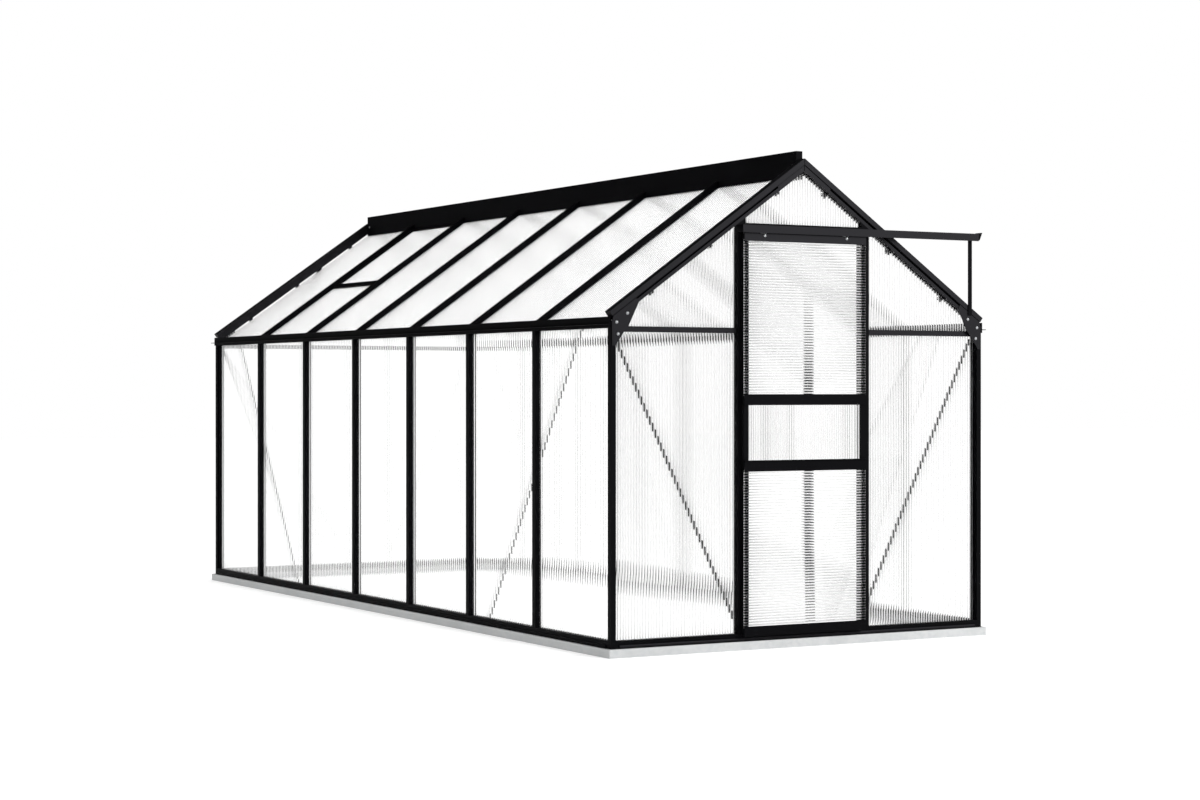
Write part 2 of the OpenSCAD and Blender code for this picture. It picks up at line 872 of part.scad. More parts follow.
// Rollers

module door_hangers()
    color(zinc_colour)
        leaf_place()
            for (x = [-roller_x, roller_x])
                translate([x, -leaf_mid, 0])
                    difference() {
                        translate([-hanger_w / 2, -hanger_t / 2, leaf_top - hanger_lap])
                            cube([hanger_w, hanger_t, axle_z + wheel_d / 2 - leaf_top + hanger_lap]);
                        translate([0, 0, axle_z])
                            rotate([90, 0, 0])
                                cylinder(d = axle_d + 2 * seat, h = 2 * hanger_t, center = true);
                    }

module door_wheels() {
    wheel_out = track_slot / 2 + wheel_w / 2 + over;
    axle_l = 2 * wheel_out + wheel_w;
    color("#d8d8d4")
        leaf_place()
            for (x = [-roller_x, roller_x])
                translate([x, -leaf_mid, axle_z])
                    rotate([90, 0, 0]) {
                        cylinder(d = axle_d, h = axle_l, center = true);
                        for (side = [-1, 1])
                            translate([0, 0, side * wheel_out])
                                cylinder(d = wheel_d, h = wheel_w, center = true);
                    }
}

front_base();
back_base();
side_bases();
front_sill();
back_sill();
side_sills();
corner_posts();
left_studs();
right_studs();
left_gutter();
right_gutter();
ridge();
left_rafters();
right_rafters();
left_roof_bars();
right_roof_bars();
door_posts();
door_header();
back_gable_studs();
front_crossbars();
back_crossbars();
gusset_plates();
gable_braces();
side_braces();
front_gable_panels();
back_gable_panels();
left_wall_panels();
right_wall_panels();
left_roof_panels();
right_roof_panels();
vent_crossbar();
vent_frame();
vent_panel();
door_track();
track_caps();
track_brackets();
track_strut();
door_stiles();
door_head();
door_middle_rails();
door_foot();
door_panels();
door_hangers();
door_wheels();
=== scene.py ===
# %% [markdown]
# A walk-in greenhouse: a dark aluminium frame that holds fluted twin-wall sheets, standing on a
# galvanised base channel, with a door that hangs from a track and slides across the front gable.
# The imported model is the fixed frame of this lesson. Its solids stay where they are, and each
# cell adds one finish or one kind of piece in the same metres.

# %% Load the frame
import json
import math

import bmesh
import bpy
import numpy as np
from mathutils import Matrix, Vector


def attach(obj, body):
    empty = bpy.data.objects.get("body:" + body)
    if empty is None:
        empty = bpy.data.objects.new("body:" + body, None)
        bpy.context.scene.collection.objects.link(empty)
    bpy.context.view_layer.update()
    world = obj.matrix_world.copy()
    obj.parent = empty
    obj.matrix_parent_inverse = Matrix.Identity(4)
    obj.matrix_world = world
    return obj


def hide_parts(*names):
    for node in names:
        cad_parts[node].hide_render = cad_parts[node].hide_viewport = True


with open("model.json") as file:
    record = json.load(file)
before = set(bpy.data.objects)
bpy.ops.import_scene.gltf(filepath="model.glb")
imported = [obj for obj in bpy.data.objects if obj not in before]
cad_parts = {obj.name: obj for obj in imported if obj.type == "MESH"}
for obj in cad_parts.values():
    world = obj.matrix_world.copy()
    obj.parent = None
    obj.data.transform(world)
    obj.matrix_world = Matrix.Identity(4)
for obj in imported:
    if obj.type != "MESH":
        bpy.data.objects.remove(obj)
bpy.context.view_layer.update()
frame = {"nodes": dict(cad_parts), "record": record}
nodes = frame["nodes"]
MM = 0.001

# %% [markdown]
# The camera stands low, in front of the left corner, far enough away for a long lens. Its place
# was solved from the corners and the equal bays, so the uprights come out upright and only the
# lens shift, not a tilt, centres the house in the picture.

# %% Camera
PICTURE_W, PICTURE_H = 1200, 800
SENSOR_MM = 36
FOCAL_PIXELS = 2367.16
MIDDLE_X, MIDDLE_Y = 560.0, 389.896
EYE = (-5.7683, -10.5517, 1.089)
YAW = 0.504

camera_data = bpy.data.cameras.new("camera")
camera_data.sensor_width = SENSOR_MM
camera_data.lens = FOCAL_PIXELS / PICTURE_W * SENSOR_MM
camera_data.shift_x = (PICTURE_W / 2 - MIDDLE_X) / PICTURE_W
camera_data.shift_y = (MIDDLE_Y - PICTURE_H / 2) / PICTURE_W
camera = bpy.data.objects.new("camera", camera_data)
camera.location = EYE
camera.rotation_euler = (math.pi / 2, 0, -YAW)
bpy.context.scene.collection.objects.link(camera)
bpy.context.scene.camera = camera
print("lens", round(camera_data.lens, 2), "mm")

# %% [markdown]
# Three small tools serve the whole lesson. One turns a hex colour, as a paint chart gives it, into
# the linear numbers that Blender's shaders work in. One adds a node with its settings and its
# links, which keeps each node tree readable as a list. The last one opens an empty material.

# %% Tools for node trees
def paint(code):
    """The linear colour of an sRGB hex value."""
    parts = [int(code[i:i + 2], 16) / 255 for i in (1, 3, 5)]
    linear = [c / 12.92 if c <= 0.04045 else ((c + 0.055) / 1.055) ** 2.4 for c in parts]
    return (*linear, 1)


def add(tree, kind, inputs=None, **settings):
    """Adds one node; inputs are values or the sockets that feed them."""
    node = tree.nodes.new(kind)
    for name, value in settings.items():
        setattr(node, name, value)
    for key, value in (inputs or {}).items():
        if isinstance(value, bpy.types.NodeSocket):
            tree.links.new(value, node.inputs[key])
        else:
            node.inputs[key].default_value = value
    return node


def new_material(name):
    """An empty material, its tree and its output node."""
    material = bpy.data.materials.new(name)
    material.use_nodes = True
    tree = material.node_tree
    tree.nodes.clear()
    return material, tree, add(tree, "ShaderNodeOutputMaterial")


print("tools ready; middle grey is", round(paint("#808080")[0], 3), "in linear light")

# %% [markdown]
# Powder coat is a polymer powder baked on to the aluminium: near black, satin, with a fine
# orange-peel skin. The real skin ripples at about a millimetre, which is finer than a pixel here,
# so it is drawn at a few millimetres. To the eye it gives a soft grey sheen and not flat black
# paper. The same coat is made twice, and the second copy reflects five times as much: painted
# highlight, so the rafters, gussets, crossbars and the door's head and track look lit and the posts
# and sills stay dark.

# %% Powder-coated aluminium
PEEL_MM = 4
PEEL_DEPTH_MM = 0.3
PEEL_STRENGTH = 0.12
DRIFT_MM = 260
DRIFT_FROM, DRIFT_TO = 0.3, 0.75
SATIN_LOW, SATIN_HIGH = 0.42, 0.58
# The second entry is a lit copy of the same paint; its stronger reflection is painted highlight.
SHINES = {"powder_coated_aluminium": 0.03, "painted_lit_powder_coat": 0.15}

coats = []
for label, shine in SHINES.items():
    coat, tree, out = new_material(label)
    place = add(tree, "ShaderNodeTexCoord").outputs["Object"]
    drift = add(tree, "ShaderNodeTexNoise", {
        "Vector": place, "Scale": 1 / (DRIFT_MM * MM), "Detail": 4})
    peel = add(tree, "ShaderNodeTexNoise", {
        "Vector": place, "Scale": 1 / (PEEL_MM * MM), "Detail": 2})
    tone = add(tree, "ShaderNodeValToRGB", {"Fac": drift.outputs["Fac"]})
    tone.color_ramp.elements[0].color = paint("#040405")
    tone.color_ramp.elements[1].color = paint("#08080a")
    tone.color_ramp.elements[0].position = DRIFT_FROM
    tone.color_ramp.elements[1].position = DRIFT_TO
    satin = add(tree, "ShaderNodeMapRange", {
        "Value": drift.outputs["Fac"], "To Min": SATIN_LOW, "To Max": SATIN_HIGH})
    skin = add(tree, "ShaderNodeBump", {
        "Height": peel.outputs["Fac"], "Strength": PEEL_STRENGTH, "Distance": PEEL_DEPTH_MM * MM})
    surface = add(tree, "ShaderNodeBsdfPrincipled", {
        "Base Color": tone.outputs["Color"], "Roughness": satin.outputs["Result"],
        "Specular IOR Level": shine, "Specular Tint": paint("#f6f4ff"),
        "Normal": skin.outputs["Normal"]})
    tree.links.new(surface.outputs["BSDF"], out.inputs["Surface"])
    coats.append(coat)
powder_coat, painted_lit_coat = coats
print("coats:", ", ".join(coat.name for coat in coats))

# %% [markdown]
# The base channel is hot-dip galvanised sheet. Zinc freezes in crystals, the spangle, about a
# centimetre across, each with its own shade of grey; weather dulls it to a pale matt grey. Cells
# of a Voronoi texture give the crystals, and each cell also shifts the roughness. To the eye it
# is a pale band with a faint, broken glitter under the black frame.

# %% Galvanised steel
SPANGLE_MM = 14
SPANGLE_GLOSS_LOW, SPANGLE_GLOSS_HIGH = 0.42, 0.6
STAIN_MM = 180
STAIN_FROM, STAIN_TO, STAIN_MOST = 0.45, 0.75, 0.5
DULL_METALLIC = 0.55

galvanised, tree, out = new_material("galvanised_steel")
place = add(tree, "ShaderNodeTexCoord").outputs["Object"]
spangle = add(tree, "ShaderNodeTexVoronoi", {"Vector": place, "Scale": 1 / (SPANGLE_MM * MM)})
stain = add(tree, "ShaderNodeTexNoise", {
    "Vector": place, "Scale": 1 / (STAIN_MM * MM), "Detail": 5})
shade = add(tree, "ShaderNodeSeparateColor", {"Color": spangle.outputs["Color"]}).outputs["Red"]
crystal = add(tree, "ShaderNodeValToRGB", {"Fac": shade})
crystal.color_ramp.elements[0].color = paint("#b4b6b7")
crystal.color_ramp.elements[1].color = paint("#bebfbf")
stained = add(tree, "ShaderNodeMapRange", {
    "Value": stain.outputs["Fac"], "From Min": STAIN_FROM, "From Max": STAIN_TO,
    "To Max": STAIN_MOST})
dulled = add(tree, "ShaderNodeMix", {
    0: stained.outputs["Result"], 6: crystal.outputs["Color"], 7: paint("#a9abab")},
    data_type="RGBA")
gloss = add(tree, "ShaderNodeMapRange", {
    "Value": shade, "To Min": SPANGLE_GLOSS_LOW, "To Max": SPANGLE_GLOSS_HIGH})
zinc = add(tree, "ShaderNodeBsdfPrincipled", {
    "Base Color": dulled.outputs[2], "Metallic": DULL_METALLIC,
    "Roughness": gloss.outputs["Result"]})
tree.links.new(zinc.outputs["BSDF"], out.inputs["Surface"])
print("galvanised steel with spangles of", SPANGLE_MM, "mm")

# %% [markdown]
# Twin-wall polycarbonate is two thin clear walls joined by webs, extruded in one piece. Each flute
# works as a narrow lens: things close behind it break into short strokes, things far behind are
# drawn out sideways and vanish. Real refraction on a fluted mesh gives that by itself, so the
# material is a clear plastic with a little milk in it, and milky where the mesh is marked as web.
# To the eye it is a white, softly lined sheet that hides the far side and hatches what is near.
# Lamps and bounced light pass straight through, because a shadow ray cannot follow refraction.
# A ray that has been through one sheet finds the next one plain, which keeps the picture calm.

# %% Twin-wall polycarbonate
CLOUD_MM = 350
MILK_LOW, MILK_HIGH = 0.03, 0.08
WEB_MILK = 0.9
POLYCARBONATE_IOR = 1.585
THROUGH_ONE_SHEET = 1.5

twin_wall, tree, out = new_material("twin_wall_polycarbonate")
place = add(tree, "ShaderNodeTexCoord").outputs["Object"]
cloud = add(tree, "ShaderNodeTexNoise", {
    "Vector": place, "Scale": 1 / (CLOUD_MM * MM), "Detail": 3})
haze = add(tree, "ShaderNodeMapRange", {
    "Value": cloud.outputs["Fac"], "To Min": MILK_LOW, "To Max": MILK_HIGH})
web = add(tree, "ShaderNodeAttribute", attribute_name="web")
milkiness = add(tree, "ShaderNodeMath", {
    0: web.outputs["Fac"], 1: WEB_MILK, 2: haze.outputs["Result"]}, operation="MULTIPLY_ADD")
clear = add(tree, "ShaderNodeBsdfPrincipled", {
    "Base Color": paint("#ffffff"), "Roughness": 0.0, "IOR": POLYCARBONATE_IOR,
    "Specular Tint": paint("#000000"), "Transmission Weight": 1.0})
milk = add(tree, "ShaderNodeBsdfTranslucent", {"Color": paint("#fdfdfd")})
body = add(tree, "ShaderNodeMixShader", {
    0: milkiness.outputs["Value"], 1: clear.outputs["BSDF"], 2: milk.outputs["BSDF"]})
ray = add(tree, "ShaderNodeLightPath")
soft_light = add(tree, "ShaderNodeMath", {
    0: ray.outputs["Is Shadow Ray"], 1: ray.outputs["Is Diffuse Ray"]}, operation="MAXIMUM")
second_sheet = add(tree, "ShaderNodeMath", {
    0: ray.outputs["Transmission Depth"], 1: THROUGH_ONE_SHEET}, operation="GREATER_THAN")
through = add(tree, "ShaderNodeMath", {
    0: soft_light.outputs["Value"], 1: second_sheet.outputs["Value"]}, operation="MAXIMUM")
pane = add(tree, "ShaderNodeBsdfTransparent", {"Color": paint("#fdfdfd")})
sheet = add(tree, "ShaderNodeMixShader", {
    0: through.outputs["Value"], 1: body.outputs["Shader"], 2: pane.outputs["BSDF"]})
tree.links.new(sheet.outputs["Shader"], out.inputs["Surface"])
print("twin-wall sheet material has", len(tree.nodes), "nodes")

# %% [markdown]
# Bolts and roller plates are steel with a thin bright zinc plate. It is a true metal, so the light
# it returns is all reflection; a fine mottle in the roughness stops it from looking like chrome.
# To the eye a bolt head is a small bright dot on the black frame. The door's wheels are turned from
# white nylon, a soft plastic that scuffs to a mottled, waxy off-white.

# %% Zinc plate and nylon
MOTTLE_MM = 3
PLATE_ROUGH_LOW, PLATE_ROUGH_HIGH = 0.22, 0.4
NYLON_ROUGH = 0.45

zinc_plate, tree, out = new_material("zinc_plated_steel")
place = add(tree, "ShaderNodeTexCoord").outputs["Object"]
mottle = add(tree, "ShaderNodeTexNoise", {
    "Vector": place, "Scale": 1 / (MOTTLE_MM * MM), "Detail": 2})
bright = add(tree, "ShaderNodeMapRange", {
    "Value": mottle.outputs["Fac"], "To Min": PLATE_ROUGH_LOW, "To Max": PLATE_ROUGH_HIGH})
plate = add(tree, "ShaderNodeBsdfPrincipled", {
    "Base Color": paint("#97999b"), "Metallic": 1.0, "Roughness": bright.outputs["Result"]})
tree.links.new(plate.outputs["BSDF"], out.inputs["Surface"])

nylon, tree, out = new_material("white_nylon")
place = add(tree, "ShaderNodeTexCoord").outputs["Object"]
scuff = add(tree, "ShaderNodeTexNoise", {
    "Vector": place, "Scale": 1 / (MOTTLE_MM * MM), "Detail": 3})
worn = add(tree, "ShaderNodeValToRGB", {"Fac": scuff.outputs["Fac"]})
worn.color_ramp.elements[0].color = paint("#c9c9c4")
worn.color_ramp.elements[1].color = paint("#e9e9e4")
wheel = add(tree, "ShaderNodeBsdfPrincipled", {
    "Base Color": worn.outputs["Color"], "Roughness": NYLON_ROUGH})
tree.links.new(wheel.outputs["BSDF"], out.inputs["Surface"])
print("made", zinc_plate.name, "and", nylon.name, "with a mottle of", MOTTLE_MM, "mm")

# %% [markdown]
# Every solid of the imported model names the material it is made of, so the finishes go on by that
# list. The only exception is the lit copy of the coat, with painted highlight, on the gable's
# rafters, gussets and crossbars and the door's track and head.

# %% Finishes on the imported solids
# Members that wear the lit copy of the coat, whose stronger reflection is painted highlight.
PAINTED_LIT_FACES = ("left_rafters", "right_rafters", "gusset_plates", "front_crossbars",
               "back_crossbars", "door_track", "door_head")
finish_of_slot = {
    "galvanised_steel": galvanised, "powder_coat": powder_coat, "twin_wall_sheet": twin_wall,
    "zinc_plate": zinc_plate, "wheel_nylon": nylon}
slot_of_node = {part["node"]: part["material_slot"] for part in frame["record"]["subparts"]}
bodies = frame["record"]["behaviour"]["bodies"]
body_of_node = {name: body for body, names in bodies.items() for name in names}
for name, node in nodes.items():
    finish = painted_lit_coat if name in PAINTED_LIT_FACES else finish_of_slot[slot_of_node[name]]
    node.data.materials.clear()
    node.data.materials.append(finish)
print("finishes on", len(nodes), "nodes")

# %% [markdown]
# A fluted sheet follows a rule, so a node tree makes it and its sizes stay open to change. It
# starts as a strip, as wide and as thick as the sheet, with a row of points along each face. A
# whole number of flutes fits the width, and each point learns how far it is from the middle of
# its own flute: 0 there and 1 at the web.

# %% The strip and its flutes
FLUTE_STEPS = 16
NUDGE = 1e-4

flutes = bpy.data.node_groups.new("fluted_sheet", "GeometryNodeTree")
flutes.interface.new_socket("Geometry", in_out="OUTPUT", socket_type="NodeSocketGeometry")
for label in ("Width", "Length", "Thickness", "Flute pitch", "Window share", "Window crown",
              "Valley depth", "Middle", "Peak", "Fall"):
    flutes.interface.new_socket(label, in_out="INPUT", socket_type="NodeSocketFloat")
flutes.interface.new_socket("Material", in_out="INPUT", socket_type="NodeSocketMaterial")
given = add(flutes, "NodeGroupInput").outputs
fitting = add(flutes, "ShaderNodeMath", {
    0: given["Width"], 1: given["Flute pitch"]}, operation="DIVIDE")
whole = add(flutes, "ShaderNodeMath", {0: fitting.outputs[0]}, operation="ROUND")
count = add(flutes, "ShaderNodeMath", {0: whole.outputs[0], 1: 1.0}, operation="MAXIMUM")
rows = add(flutes, "ShaderNodeMath", {
    0: count.outputs[0], 1: FLUTE_STEPS, 2: 1.0}, operation="MULTIPLY_ADD")
strip = add(flutes, "GeometryNodeMeshGrid", {
    "Size X": given["Width"], "Size Y": given["Thickness"],
    "Vertices X": rows.outputs[0], "Vertices Y": 2})
place = add(flutes, "GeometryNodeInputPosition")
spot = add(flutes, "ShaderNodeSeparateXYZ", {0: place.outputs[0]})
part_way = add(flutes, "ShaderNodeMath", {
    0: spot.outputs["X"], 1: given["Width"]}, operation="DIVIDE")
from_edge = add(flutes, "ShaderNodeMath", {0: part_way.outputs[0], 1: 0.5}, operation="ADD")
turn = add(flutes, "ShaderNodeMath", {
    0: from_edge.outputs[0], 1: count.outputs[0], 2: NUDGE}, operation="MULTIPLY_ADD")
in_flute = add(flutes, "ShaderNodeMath", {0: turn.outputs[0]}, operation="FRACT")
from_middle = add(flutes, "ShaderNodeMath", {
    0: in_flute.outputs[0], 1: 0.5}, operation="SUBTRACT")
either_side = add(flutes, "ShaderNodeMath", {0: from_middle.outputs[0]}, operation="ABSOLUTE")
off_middle = add(flutes, "ShaderNodeMath", {
    0: either_side.outputs[0], 1: 2.0}, operation="MULTIPLY")
print("one flute has", FLUTE_STEPS, "steps across")

# %% [markdown]
# Between two webs both faces bulge like a flat lens, the window; over the web they stay thin, and
# a mark there tells the material where the milky webs are. The window's curve is a parabola,
# because its slope, which bends the light, then grows evenly from the middle to the edge.

# %% The section of one flute
WEB_FULL = 0.8

at_web = add(flutes, "ShaderNodeMapRange", {
    "Value": off_middle.outputs[0], "From Min": given["Window share"], "From Max": WEB_FULL})
valley = add(flutes, "ShaderNodeMapRange", {
    "Value": off_middle.outputs[0], "From Min": given["Window share"], "From Max": 1.0,
    "To Max": given["Valley depth"]}, interpolation_type="SMOOTHSTEP")
spread = add(flutes, "ShaderNodeMath", {
    0: off_middle.outputs[0], 1: given["Window share"]}, operation="DIVIDE")
across = add(flutes, "ShaderNodeMath", {0: spread.outputs[0], 1: 1.0}, operation="MINIMUM")
squared = add(flutes, "ShaderNodeMath", {
    0: across.outputs[0], 1: across.outputs[0]}, operation="MULTIPLY")
drop = add(flutes, "ShaderNodeMath", {
    0: squared.outputs[0], 1: given["Window crown"], 2: valley.outputs[0]},
    operation="MULTIPLY_ADD")
half = add(flutes, "ShaderNodeMath", {0: given["Thickness"], 1: 0.5}, operation="MULTIPLY")
kept = add(flutes, "ShaderNodeMath", {0: half.outputs[0], 1: drop.outputs[0]}, operation="SUBTRACT")
face = add(flutes, "ShaderNodeMath", {0: spot.outputs["Y"]}, operation="SIGN")
depth = add(flutes, "ShaderNodeMath", {
    0: face.outputs[0], 1: kept.outputs[0]}, operation="MULTIPLY")
marked = add(flutes, "GeometryNodeStoreNamedAttribute", {
    "Geometry": strip.outputs["Mesh"], "Name": "web", "Value": at_web.outputs[0]},
    data_type="FLOAT", domain="POINT")
on_face = add(flutes, "ShaderNodeCombineXYZ", {"X": spot.outputs["X"], "Y": depth.outputs[0]})
fluted = add(flutes, "GeometryNodeSetPosition", {
    "Geometry": marked.outputs["Geometry"], "Position": on_face.outputs[0]})
print("milk is full from", WEB_FULL, "of the way between a flute's middle and its web")

# %% [markdown]
# The section is then drawn out to the sheet's length, as the real sheet is in the extruder. The
# drawing leaves the start open, so a flipped copy of the strip closes it, and the two are welded.

# %% Draw the section out
WELD = 0.01 * MM

pull = add(flutes, "ShaderNodeCombineXYZ", {"Z": given["Length"]})
drawn = add(flutes, "GeometryNodeExtrudeMesh", {
    "Mesh": fluted.outputs[0], "Individual": False, "Offset": pull.outputs[0]}, mode="FACES")
foot = add(flutes, "GeometryNodeFlipFaces", {"Mesh": fluted.outputs[0]})
shell = add(flutes, "GeometryNodeJoinGeometry")
flutes.links.new(drawn.outputs["Mesh"], shell.inputs[0])
flutes.links.new(foot.outputs["Mesh"], shell.inputs[0])
closed = add(flutes, "GeometryNodeMergeByDistance", {
    "Geometry": shell.outputs[0], "Distance": WELD})
print("ends are welded within", round(WELD / MM, 3), "mm")

# %% [markdown]
# A gable sheet is sawn to the roof's fall: its far end is lowered to a line that drops on both
# sides of the ridge. Edges sharper than the flutes stay creased, and the flutes themselves are
# shaded smooth.

# %% Saw the sheet to the roof and shade it
CREASE = math.radians(50)

from_ridge = add(flutes, "ShaderNodeMath", {
    0: spot.outputs["X"], 1: given["Middle"]}, operation="ADD")
away = add(flutes, "ShaderNodeMath", {0: from_ridge.outputs[0]}, operation="ABSOLUTE")
lost = add(flutes, "ShaderNodeMath", {
    0: given["Fall"], 1: away.outputs[0]}, operation="MULTIPLY")
roof_line = add(flutes, "ShaderNodeMath", {
    0: given["Peak"], 1: lost.outputs[0]}, operation="SUBTRACT")
new_end = add(flutes, "ShaderNodeMath", {
    0: given["Length"], 1: roof_line.outputs[0]}, operation="MINIMUM")
half_way = add(flutes, "ShaderNodeMath", {0: given["Length"], 1: 0.5}, operation="MULTIPLY")
far_end = add(flutes, "FunctionNodeCompare", {
    "A": spot.outputs["Z"], "B": half_way.outputs[0]}, data_type="FLOAT", operation="GREATER_THAN")
at_roof = add(flutes, "ShaderNodeCombineXYZ", {
    "X": spot.outputs["X"], "Y": spot.outputs["Y"], "Z": new_end.outputs[0]})
sawn = add(flutes, "GeometryNodeSetPosition", {
    "Geometry": closed.outputs[0], "Selection": far_end.outputs[0],
    "Position": at_roof.outputs[0]})
smooth = add(flutes, "GeometryNodeSetShadeSmooth", {
    "Geometry": sawn.outputs[0], "Shade Smooth": True}, domain="FACE")
bend = add(flutes, "GeometryNodeInputMeshEdgeAngle")
sharp = add(flutes, "FunctionNodeCompare", {
    "A": bend.outputs["Unsigned Angle"], "B": CREASE},
    data_type="FLOAT", operation="GREATER_THAN")
creased = add(flutes, "GeometryNodeSetShadeSmooth", {
    "Geometry": smooth.outputs[0], "Selection": sharp.outputs[0], "Shade Smooth": False},
    domain="EDGE")
realized = add(flutes, "GeometryNodeRealizeInstances", {"Geometry": creased.outputs[0]})
dressed = add(flutes, "GeometryNodeSetMaterial", {
    "Geometry": realized.outputs[0], "Material": given["Material"]})
add(flutes, "NodeGroupOutput", {0: dressed.outputs[0]})
print("flute tree has", len(flutes.nodes), "nodes")

# %% [markdown]
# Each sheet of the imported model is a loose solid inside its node. Its corners say how wide, long
# and thick it is and which way it faces, so a fluted sheet can be fitted to those corners and take
# the plain plate's place without moving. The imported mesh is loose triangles, so a copy is merged
# first, and then every group of points that hangs together is one sheet.

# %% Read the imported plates
MERGE = 0.02 * MM


def merged_copy(name):
    """A copy of a CAD node's mesh with its loose triangles merged."""
    build = bmesh.new()
    build.from_mesh(nodes[name].data)
    bmesh.ops.remove_doubles(build, verts=build.verts, dist=MERGE)
    return build


def solids_of(name):
    """The corner points of each separate solid of a CAD node."""
    build = merged_copy(name)
    left = set(build.verts)
    solids = []
    while left:
        found, waiting = set(), [left.pop()]
        while waiting:
            point = waiting.pop()
            found.add(point)
            for edge in point.link_edges:
                other = edge.other_vert(point)
                if other in left:
                    left.discard(other)
                    waiting.append(other)
        solids.append(np.array([point.co[:] for point in found]))
    build.free()
    return sorted(solids, key=lambda s: tuple(s.mean(0).round(4)))


roof_plate = solids_of("right_roof_panels")[0]
outer_half = roof_plate[:, 0] > roof_plate[:, 0].mean()
down_right = Vector(roof_plate[outer_half].mean(0) - roof_plate[~outer_half].mean(0)).normalized()
down_left = Vector((-down_right.x, 0, down_right.z))
up = Vector((0, 0, 1))
print("roof falls at", round(math.degrees(math.asin(-down_right.z)), 1), "degrees")

# %% [markdown]
# The flutes look wide on walls and roof, narrower on the gables and narrowest in the door. The
# slope of a window's edge sets how strong a lens it is. A nearly flat window keeps level things
# such as eaves crisp and still smears far uprights until they vanish, which suits the walls; the
# gables and the door smear a little more. The roof is seen at a flat angle, where the webs stand
# before each other, so its windows are narrow. Past a slope of about half a radian the light is
# thrown back inside the plastic and a flute turns black, so all stay below that.

# %% A fluted sheet for one plate
GABLE_FLUTES = {"pitch": 13.3 * MM, "share": 0.55, "slope": 0.14}
WALL_FLUTES = {"pitch": 20.8 * MM, "share": 0.65, "slope": 0.03}
ROOF_FLUTES = {"pitch": 20.8 * MM, "share": 0.35, "slope": 0.32}
DOOR_FLUTES = {"pitch": 11.5 * MM, "share": 0.5, "slope": 0.16}
WEB_DIP = 0.05 * MM
LEVEL = 1 * MM


def applied(holder):
    """The plain mesh of an object with its modifiers applied; the object goes."""
    graph = bpy.context.evaluated_depsgraph_get()
    mesh = bpy.data.meshes.new_from_object(holder.evaluated_get(graph), depsgraph=graph)
    holder.modifiers.clear()
    bpy.data.objects.remove(holder)
    return mesh


def evaluated(group, values, name, start=None):
    """The plain mesh that a node tree makes with these input values."""
    holder = bpy.data.objects.new(name, start or bpy.data.meshes.new(name))
    bpy.context.scene.collection.objects.link(holder)
    modifier = holder.modifiers.new("tree", "NODES")
    modifier.node_group = group
    for item in group.interface.items_tree:
        if item.item_type == "SOCKET" and item.in_out == "INPUT" and item.name in values:
            modifier[item.identifier] = values[item.name]
    return applied(holder)


def fluted_sheet(points, along, facing, pitch, share, slope):
    """A fluted sheet in the place of one plate."""
    along, facing = Vector(along).normalized(), Vector(facing).normalized()
    across = facing.cross(along)
    a, n, f = (points @ np.array(v) for v in (across, facing, along))
    middle = (a.max() + a.min()) / 2
    ends = f > f.min() + LEVEL
    far, height = np.abs(a[ends]), f[ends] - f.min()
    fall = np.ptp(height) / np.ptp(far) if np.ptp(height) > LEVEL else 0.0
    # A parabola is as deep as half its edge's slope times half its width
    crown = slope / 2 * share * pitch / 2
    mesh = evaluated(flutes, {
        "Width": np.ptp(a), "Length": np.ptp(f), "Thickness": np.ptp(n), "Flute pitch": pitch,
        "Window share": share, "Window crown": crown, "Valley depth": WEB_DIP,
        "Middle": middle, "Peak": height.max() + fall * far.min(), "Fall": fall,
        "Material": twin_wall}, "sheet")
    turn = Matrix((across, facing, along)).transposed().to_4x4()
    start = across * middle + facing * ((n.max() + n.min()) / 2) + along * f.min()
    mesh.transform(Matrix.Translation(start) @ turn)
    return mesh


for flute in (GABLE_FLUTES, WALL_FLUTES, ROOF_FLUTES, DOOR_FLUTES):
    print("flutes", round(flute["pitch"] / MM, 1), "mm apart, windows", flute["share"], "of that")

# %% [markdown]
# On the real house every bay has a sheet of its own. Here the sheets of one node are joined to one
# piece that stands for that node, so walls, gables and roof slopes stay separate. The flutes run
# upright in the walls and gables and down the slope in the roof, so that water drains out of them.

# %% Fit the sheets to walls, gables and roof
def joined(name, meshes):
    """One object from several plain meshes."""
    build = bmesh.new()
    for mesh in meshes:
        build.from_mesh(mesh)
    whole = bpy.data.meshes.new(name)
    build.to_mesh(whole)
    build.free()
    for material in meshes[0].materials:
        whole.materials.append(material)
    piece = bpy.data.objects.new(name, whole)
    bpy.context.scene.collection.objects.link(piece)
    return piece


left_slope = (-down_left, (down_left.z, 0, -down_left.x))
right_slope = (-down_right, (-down_right.z, 0, down_right.x))
sheet_plan = {
    "front_gable_panels": ("front_gable_flutes", up, (0, -1, 0), GABLE_FLUTES),
    "back_gable_panels": ("back_gable_flutes", up, (0, 1, 0), GABLE_FLUTES),
    "left_wall_panels": ("left_wall_flutes", up, (-1, 0, 0), WALL_FLUTES),
    "right_wall_panels": ("right_wall_flutes", up, (1, 0, 0), WALL_FLUTES),
    "left_roof_panels": ("left_roof_flutes", *left_slope, ROOF_FLUTES),
    "right_roof_panels": ("right_roof_flutes", *right_slope, ROOF_FLUTES),
    "vent_panel": ("vent_flutes", *left_slope, ROOF_FLUTES)}
for name, (label, along, facing, sizes) in sheet_plan.items():
    piece = joined(label, [
        fluted_sheet(points, along, facing, **sizes) for points in solids_of(name)])
    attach(piece, body_of_node[name])
    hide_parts(name)
    print(label, len(piece.data.polygons), "faces")

# %% [markdown]
# The door's top and bottom sheets have their flutes lying across, and only the one in the middle,
# between the two rails, has them upright. The three are told apart by their height.

# %% Fit the door's sheets
ways = ((1, 0, 0), up, (1, 0, 0))
plates = sorted(solids_of("door_panels"), key=lambda points: points[:, 2].mean())
piece = joined("door_flutes", [
    fluted_sheet(points, way, (0, -1, 0), **DOOR_FLUTES) for points, way in zip(plates, ways)])
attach(piece, "door")
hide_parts("door_panels")
print(piece.name, len(piece.data.polygons), "faces")

